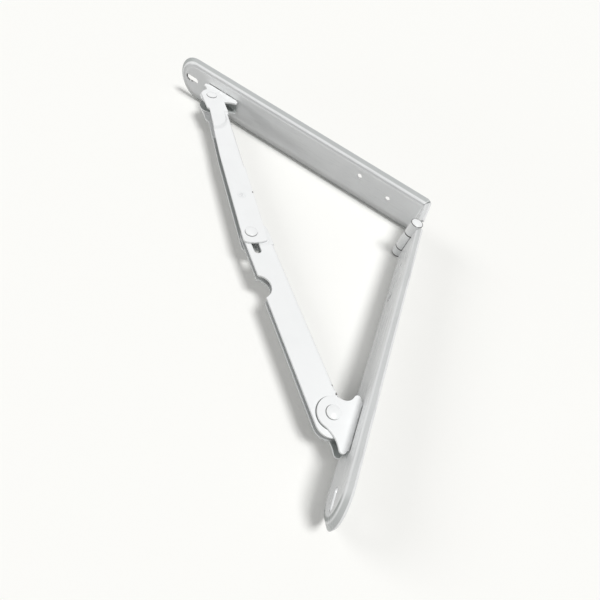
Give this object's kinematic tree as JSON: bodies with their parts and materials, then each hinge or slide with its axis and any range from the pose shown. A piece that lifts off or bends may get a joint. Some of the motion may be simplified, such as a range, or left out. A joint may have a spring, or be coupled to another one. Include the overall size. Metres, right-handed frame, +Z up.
{
  "type": "folding shelf bracket",
  "caption": "Folding shelf bracket: two rimmed steel plates on a rolled hinge, held apart by a folding two-part brace with a slotted joint.",
  "frame": {"origin": "centre of the wall plate's top screw hole, on the face that looks at the wall", "axes": "+X away from the wall, +Z up along the wall plate, +Y along the hinge pin"},
  "size_m": [0.2937, 0.0434, 0.3542],
  "materials": {
    "white_coat": "satin white powder coat on pressed steel",
    "white_coat_rivets": "satin white powder coat on steel rivets and pin"
  },
  "bodies": {
    "wall_side": {"wall_plate": "white_coat", "wall_ear": "white_coat", "wall_rivet": "white_coat_rivets", "hinge_pin": "white_coat_rivets"},
    "shelf_side": {"shelf_plate": "white_coat", "shelf_ear": "white_coat", "shelf_rivet": "white_coat_rivets"},
    "long_brace": {"long_arm": "white_coat"},
    "short_brace": {"short_arm": "white_coat", "joint_rivet_heads": "white_coat_rivets"},
    "slot_rivet": {"joint_rivet_shank": "white_coat_rivets"}
  },
  "joints": [
    {"name": "shelf_fold", "type": "hinge", "parent": "wall_side", "child": "shelf_side", "pos_m": [0.0033, 0, 0.0377], "axis": [0, 1, 0], "range_deg": [0, 86]},
    {"name": "long_arm_pivot", "type": "hinge", "parent": "wall_side", "child": "long_brace", "pos_m": [0.019, 0, -0.1563], "axis": [0, -1, 0], "range_deg": [0, 40.47]},
    {"name": "short_arm_pivot", "type": "hinge", "parent": "shelf_side", "child": "short_brace", "pos_m": [0.23878, 0, 0.10242], "axis": [0, 1, 0], "range_deg": [0, 39.27]},
    {"name": "slot_slide", "type": "slide", "parent": "long_brace", "child": "slot_rivet", "axis": [-0.6667, 0, -0.7453], "range_m": [0, 0.01801]}
  ],
  "couplings": [
    {"joint": "long_arm_pivot", "follows": "shelf_fold", "ratio": 0.46996},
    {"joint": "short_arm_pivot", "follows": "shelf_fold", "ratio": 0.45604},
    {"joint": "slot_slide", "follows": "shelf_fold", "m_per_rad": 0.011992}
  ]
}
